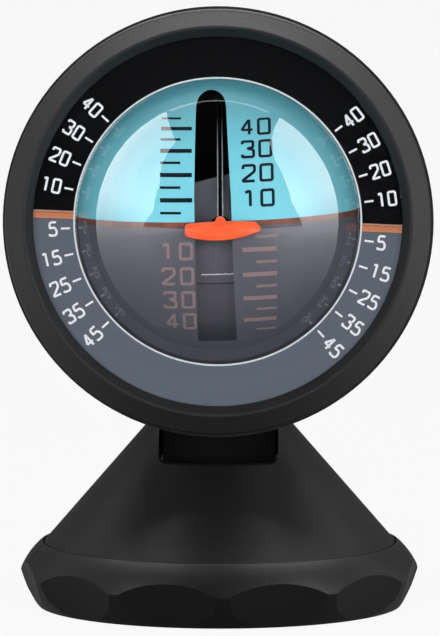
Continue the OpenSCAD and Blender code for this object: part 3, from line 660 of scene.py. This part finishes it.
def make_pointer(material):
    """A dished blade with a raised rim, and the small boss that holds the arm's end."""
    outline = pointer_outline()
    half, sag = POINTER_W / 2, POINTER_H / 2
    width_share, height_share, boss_lift, boss_segments = 0.955, 0.94, 0.9 * sag, 32

    def loop(inset, depth):
        sx, sz = width_share * (half - inset) / half, height_share * (sag - inset) / sag
        return [(x * sx + POINTER_SHIFT, -depth, z * sz) for x, z in outline]

    steps = [(0.12, 0), (0, 0.15), (0, 1.18), (0.06, 1.33), (0.17, 1.4), (0.3, 1.4),
             (0.4, 1.35), (0.52, 1.22), (0.8, 1.16), (1.2, 1.18)]
    verts, faces = loft([loop(a * MM, b * MM) for a, b in steps])
    boss = [(0, 0), (0.8, 0), (0.8, 1.25), (0.7, 1.36), (0.5, 1.4), (0.42, 1.3), (0, 1.3)]
    boss_verts, boss_faces = lathe([(r * MM, -y * MM) for r, y in boss], boss_segments)
    base = len(verts)
    verts += [(x, y, z + boss_lift) for x, y, z in boss_verts]
    faces += [tuple(base + i for i in face) for face in boss_faces]
    piece = make_piece("pointer_blade", verts, faces, GIMBAL @ Matrix.Translation(POINTER_AT),
                       material, "gimbal")
    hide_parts("pointer")


def make_collar(material):
    """Dark moulded collar on the arm's end, close behind the pointer's boss."""
    profile = [(0.0, 0.02), (0.85, 0.02), (1.05, 0.1), (1.12, 0.3), (1.12, 0.42), (0.95, 0.55),
               (0.0, 0.55)]
    widen, flatten, lift, segments = 1.35, 0.95, 1.1 * MM, 40
    verts, faces = lathe([(r * MM, y * MM) for r, y in profile], segments)
    wide = [(x * widen, y, z * flatten + lift) for x, y, z in verts]
    make_piece("pointer_collar", wide, faces, GIMBAL @ Matrix.Translation(POINTER_AT), material,
               "gimbal")


def make_arm(dark, bright):
    """Folded strip: a dark web between two thin flanges, whose front edges carry a painted glint.
    """
    run = ARM_END - ARM_TOP
    length = run.length
    matrix = GIMBAL @ Matrix.Translation(ARM_TOP) @ Matrix.Rotation(
        math.atan2(run.z, run.y), 4, "X")
    flange, web, back, front = 0.16 * MM, 0.1 * MM, 0.5 * MM, -0.5 * MM

    def section(y, half):
        inner = half - flange
        return [(-half, y, back), (-half, y, front), (-inner, y, front), (-inner, y, web),
                (inner, y, web), (inner, y, front), (half, y, front), (half, y, back)]

    root, tip, root_half, tip_half = -3.0 * MM, length - 0.2 * MM, 0.36 * MM, 0.45 * MM
    verts, faces = loft([section(root, root_half), section(tip, tip_half)])
    piece = make_piece("arm_channel", verts, faces, matrix, dark, "gimbal")
    # The second material is the painted glint on the front edges.
    piece.data.materials.append(bright)
    forward = matrix.to_3x3() @ Vector((0, 0, -1))
    facing, edge_area = 0.7, 6 * MM * MM
    for polygon in piece.data.polygons:
        if polygon.normal.dot(forward) > facing and polygon.area < edge_area:
            polygon.material_index = 1
    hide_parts("pointer_arm")


def make_step_edge(material):
    """Painted highlight: a bright line across the weight, thin and slightly uneven."""
    count, half, radius = 16, 2.4 * MM, 18.5 * MM
    level, middle, height, proud, sunk = -7.4 * MM, 0.1 * MM, 0.2 * MM, 0.05 * MM, 0.3 * MM
    slow, quick = (0.05 * MM, 1.9), (0.03 * MM, 4.3)
    loops = []
    for i in range(count + 1):
        x = -half + 2 * half * i / count + middle
        sway = slow[0] * math.sin(i * slow[1]) + quick[0] * math.sin(i * quick[1])
        z = level + sway
        y = -math.sqrt(radius ** 2 - z ** 2)
        loops.append([(x, y - proud, z), (x, y - proud, z + height), (x, y + sunk, z + height),
                      (x, y + sunk, z)])
    verts, faces = loft(loops)
    make_piece("painted_highlight_line", verts, faces, GIMBAL, material, "gimbal")


# Stage, lamps and camera ------------------------------------------------------------

# The side walls stand at WALL_X metres. Their front edges are points (y, z), and their tops
# and back edges are heights and depths, all in units of WALL_X.
WALL_X = 0.6
LEFT_FRONT = [(-0.6, 0.12), (-0.8, 0.36), (-0.76, 0.86), (-0.56, 1.2), (-0.38, 2.04)]
RIGHT_FRONT = [(-0.38, 0.12), (-0.52, 0.42), (-0.5, 0.8), (-0.45, 1.24), (-0.21, 1.65),
               (0.43, 1.78)]
LEFT_TOP, LEFT_BACK, RIGHT_TOP, RIGHT_BACK = 2.06, 1.1, 1.74, 1.2
BACK_X, BACK_Y, BACK_TOP = 0.62, 0.72, 1.5
# Radiance of the walls at heights in metres.
SIDE_LEVELS = [(0.0, 2.2), (0.05, 3.0), (0.12, 5.4), (0.22, 7.4), (0.6, 6.4), (1.25, 5.8)]
BACK_LEVELS = [(0.0, 2.8), (0.3, 3.4), (1.2, 3.2), (1.5, 2.2)]
FOLD_SHADE, FOLD_LIGHT = 0.9, 1.08
# Watts of a square lamp of one square metre for each unit of its radiance.
WATTS = 4


def area_lamp(name, centre, facing, size, radiance, up=(0, 0, 1), sheen=False):
    """A rectangular lamp for matt light, or with sheen for reflections, which nobody sees."""
    data = bpy.data.lights.new(name, "AREA")
    data.shape = "RECTANGLE"
    data.size, data.size_y = size
    data.energy = radiance * WATTS * size[0] * size[1]
    obj = bpy.data.objects.new(name, data)
    bpy.context.scene.collection.objects.link(obj)
    z = -Vector(facing).normalized()
    x = Vector(up).cross(z).normalized()
    obj.matrix_world = Matrix.Translation(centre) @ Matrix(
        (x, z.cross(x), z)).transposed().to_4x4()
    obj.visible_camera = False
    obj.visible_diffuse = not sheen
    obj.visible_glossy = sheen
    obj.visible_transmission = False
    return obj


def share_light(lights, lens):
    """The walls' sheen is for the lens alone, and the lamps' sheen for everything else."""
    for name, state in (("lens_only", "INCLUDE"), ("all_but_lens", "EXCLUDE")):
        group = bpy.data.collections.new(name)
        group.objects.link(lens)
        group.collection_objects[0].light_linking.link_state = state
        for obj in lights[name]:
            obj.light_linking.receiver_collection = group


def sheen_panel(name, corners, axis, stops):
    """A cloth wall that only reflections see; stops give its radiance along an axis."""
    mesh = bpy.data.meshes.new(name)
    mesh.from_pydata([Vector(c) for c in corners], [], [tuple(range(len(corners)))])
    obj = bpy.data.objects.new(name, mesh)
    bpy.context.scene.collection.objects.link(obj)
    s = Shader(name)
    low, high = stops[0][0], stops[-1][0]
    top = max(v for _, v in stops)
    level = s.ramp(s.spread(s.along(axis), 0.0, 1.0, low, high),
                   [((at - low) / (high - low), (v / top,) * 3 + (1.0,)) for at, v in stops])
    folds = s.spread(s.streaks((1.0, 1.0, 0.25), 9.0, 2.0), FOLD_SHADE * top, FOLD_LIGHT * top)
    glow = s.add("ShaderNodeEmission", Color=(0.98, 0.99, 1.0, 1.0),
                 Strength=s.maths("MULTIPLY", folds, level))
    s.surface(glow.outputs[0])
    s.material.cycles.emission_sampling = "NONE"
    mesh.materials.append(s.material)
    obj.visible_camera = False
    obj.visible_diffuse = False
    obj.visible_transmission = False
    obj.visible_shadow = False
    return obj


def wall(side, front, top, back):
    """Outline of a side wall: its front edge leans back as it rises."""
    x = side * WALL_X
    points = [(front[0][0], 0.0)] + front + [(back, top), (back, 0.0)]
    return [(x, y * WALL_X, z * WALL_X) for y, z in points]


def light_tent(lens):
    """Bright side walls and back wall, as in a light tent, with a soft fill from the front."""
    left = wall(-1, LEFT_FRONT, LEFT_TOP, LEFT_BACK)
    right = wall(1, RIGHT_FRONT, RIGHT_TOP, RIGHT_BACK)
    behind = [(-BACK_X, BACK_Y, 0.0), (BACK_X, BACK_Y, 0.0), (BACK_X, BACK_Y, BACK_TOP),
              (-BACK_X, BACK_Y, BACK_TOP)]
    panels = [
        sheen_panel("left_wall_sheen", left, "Z", SIDE_LEVELS),
        sheen_panel("right_wall_sheen", right, "Z", SIDE_LEVELS),
        sheen_panel("back_wall_sheen", behind, "Z", BACK_LEVELS)]
    glosses = [
        area_lamp("left_gloss", (-WALL_X, -0.2, 0.4), (1, 0, 0), (1.4, 0.8), 2.3, sheen=True),
        area_lamp("right_gloss", (WALL_X, -0.2, 0.4), (-1, 0, 0), (1.4, 0.8), 2.7, sheen=True),
        area_lamp("top_gloss", (0, 0.3, 1.2), (0, -0.1, -1), (1.2, 0.6), 8.0, (0, 1, 0), True),
        area_lamp("back_gloss", (0, 0.7, 0.55), (0, -1, 0), (1.2, 0.9), 0.1, sheen=True)]
    for side, name in ((-1, "left_wall"), (1, "right_wall")):
        area_lamp(name, (side * WALL_X, 0.0, 0.5), (-side, 0, 0), (1.0, 0.9), 0.35)
    area_lamp("back_wall", (0, 0.7, 0.65), (0, -1, 0), (1.2, 0.9), 0.3)
    area_lamp("front_fill", (0, -1.3, 0.16), (0, 1.3, -0.1), (1.8, 0.5), 7.2)
    share_light({"lens_only": panels, "all_but_lens": glosses}, lens)


def world():
    """White for the camera and through glass, dark for reflections, dim as a light."""
    dim, dark, white = 0.1, 0.012, 1.0
    w = bpy.data.worlds.new("studio")
    bpy.context.scene.world = w
    w.use_nodes = True
    nodes, links = w.node_tree.nodes, w.node_tree.links
    rays = nodes.new("ShaderNodeLightPath")
    level = nodes.new("ShaderNodeMix")
    links.new(rays.outputs["Is Glossy Ray"], level.inputs[MIX_FACTOR])
    level.inputs[NUMBER_A].default_value = dim
    level.inputs[NUMBER_B].default_value = dark
    seen = nodes.new("ShaderNodeMath")
    seen.operation = "MAXIMUM"
    links.new(rays.outputs["Is Camera Ray"], seen.inputs[0])
    links.new(rays.outputs["Is Transmission Ray"], seen.inputs[1])
    shown = nodes.new("ShaderNodeMix")
    links.new(seen.outputs[0], shown.inputs[MIX_FACTOR])
    links.new(level.outputs[NUMBER_OUT], shown.inputs[NUMBER_A])
    shown.inputs[NUMBER_B].default_value = white
    background = nodes["Background"]
    background.inputs["Color"].default_value = (1, 1, 1, 1)
    links.new(shown.outputs[NUMBER_OUT], background.inputs["Strength"])


def floor():
    """Pale paper: white to the camera with a soft shadow, lit in reflections at its sides, with
    painted shade in reflections near the object.
    """
    size, white_share, white, front_share, lit_at, lit_level = 6.0, 0.85, 1.08, 0.3, 0.6, 2.2
    mesh = bpy.data.meshes.new("floor")
    mesh.from_pydata([(-size, -size, 0), (size, -size, 0), (size, size, 0), (-size, size, 0)],
                     [], [(0, 1, 2, 3)])
    obj = bpy.data.objects.new("floor", mesh)
    bpy.context.scene.collection.objects.link(obj)
    s = Shader("floor_paper")
    grain = s.noise(300.0)
    s.set(Base_Color=s.blend(grain, (0.8, 0.8, 0.8, 1), (0.84, 0.84, 0.84, 1)), Roughness=0.9,
          Specular_IOR_Level=0.1)
    rays = s.add("ShaderNodeLightPath")
    seen = s.maths("MAXIMUM", rays.outputs["Is Camera Ray"], rays.outputs["Is Transmission Ray"])
    # In reflections the paper glows dim near the object, as painted shade, and bright at its
    # sides.
    ahead = s.maths("MULTIPLY", s.maths("MINIMUM", s.along("Y"), 0.0), front_share)
    aside = s.maths("ADD", s.maths("ABSOLUTE", s.along("X")), ahead)
    level = s.ramp(s.spread(aside, 0.0, 1.0, 0.0, lit_at),
                   [(at, (v,) * 3 + (1,)) for at, v in
                    ((0.0, 0.05), (0.12, 0.12), (0.3, 0.34), (1.0, 1.0))])
    lit = s.add("ShaderNodeEmission", Color=level, Strength=lit_level)
    glow = s.add("ShaderNodeEmission", Color=(1, 1, 1, 1), Strength=white)
    shiny = s.mixed(rays.outputs["Is Glossy Ray"], s.principled.outputs[0], lit.outputs[0])
    s.surface(s.mixed(s.maths("MULTIPLY", seen, white_share), shiny, glow.outputs[0]))
    s.material.cycles.emission_sampling = "NONE"
    mesh.materials.append(s.material)


def camera():
    """Slightly above the dial's level, looking along its axis."""
    distance, elevation, azimuth = 1.5, math.radians(6.2), math.radians(1.2)
    view_height, sensor_height, nearest, farthest = 104.56 * MM, 36, 0.05, 20
    aim = Vector((0.05 * MM, 0, 47.6 * MM))
    away = Vector((math.sin(azimuth) * math.cos(elevation),
                   -math.cos(azimuth) * math.cos(elevation), math.sin(elevation)))
    data = bpy.data.cameras.new("camera")
    data.sensor_fit = "VERTICAL"
    data.sensor_height = sensor_height
    data.lens = data.sensor_height * distance / view_height
    data.clip_start, data.clip_end = nearest, farthest
    obj = bpy.data.objects.new("camera", data)
    bpy.context.scene.collection.objects.link(obj)
    obj.location = aim + away * distance
    obj.rotation_euler = (-away).to_track_quat("-Z", "Y").to_euler()
    bpy.context.scene.camera = obj


# Scene ------------------------------------------------------------------------------

camera()
world()
floor()
bpy.context.scene.view_settings.view_transform = "Standard"

stand_black = plastic("stand_black", rgb(5, 5, 7), rgb(8, 8, 10), 0.42, 2600.0, 0.00002, 0.5)
bezel_black = plastic("bezel_black", rgb(8, 8, 10), rgb(11, 11, 13), 0.62, 2200.0, 0.000015, 0.75)
neck_black = plastic("neck_black", rgb(7, 7, 8), rgb(10, 10, 11), 0.6, 2400.0, 0.00003, 0.2)
matt_black = plastic("matt_black", rgb(4, 4, 5), rgb(7, 7, 8), 0.75, 2400.0, 0.00002, 0.1)
washer_white = plastic("washer_white", rgb(214, 210, 200), rgb(224, 221, 212), 0.5, 1800.0,
                       0.00002)
pad_foam = plastic("pad_foam", rgb(26, 26, 28), rgb(36, 36, 38), 0.9, 1500.0, 0.00006, 0.2)
bright_steel = steel("bright_steel", rgb(200, 200, 204), 0.28)
grey_steel = steel("grey_steel", rgb(150, 150, 156), 0.42)
weight_grey = plastic("weight_grey", rgb(92, 91, 98), rgb(100, 99, 106), 0.6, 900.0, 0.00003, 0.3)
bush_brass = steel("bush_brass", rgb(214, 178, 104), 0.34)
# Painted highlight for the bright line across the weight.
line_highlight = plastic("line_highlight", rgb(204, 204, 208), rgb(222, 222, 226), 0.4, 2400.0,
                      0.000005)

dress(pad_foam, "adhesive_pad")
dress(stand_black, "skirt_front", "skirt_rear", "cone_shell", "base_plate", "turntable")
dress(bezel_black, "bezel", "rear_housing")
dress(neck_black, "neck", "hinge_yoke")
dress(matt_black, "inner_carrier")
dress(washer_white, "friction_washer", "hinge_washers")
dress(bright_steel, "base_screws", "cone_screws", "yoke_screws", "hinge_pin", "neck_screws",
      "housing_screws", "roll_shaft", "pitch_axle")
dress(grey_steel, "pin_clips", "shaft_clip", "gimbal_yoke", "ball_weight")
dress(weight_grey, "roll_weight")
dress(bush_brass, "pivot_bushes")
dress(ball_material("sky_paint", rgb(126, 212, 228), rgb(118, 206, 224)), "sky_shell")
dress(ball_material("ground_paint", rgb(90, 89, 98), rgb(84, 83, 92)), "ground_shell")
dress(horizon_material(), "horizon_ring")

light_tent(make_lens(glass_material()))
make_dial(dial_material())
# Painted highlight: a pale ring for the reflection at the dome's foot.
make_dial_margin(ink("fillet_highlight_white", rgb(206, 210, 214), rgb(188, 192, 197)))
print_dial(ink("figure_white", rgb(232, 230, 236), rgb(214, 212, 220)))
print_ball(ink("figure_black", rgb(10, 22, 34), rgb(18, 36, 50)),
           ink("figure_brown", rgb(140, 118, 120), rgb(128, 108, 110)))
make_pointer(pointer_material())
make_collar(matt_black)
make_arm(matt_black, arm_edge_material())
# Painted highlight line across the weight.
make_step_edge(line_highlight)

bpy.context.view_layer.update()
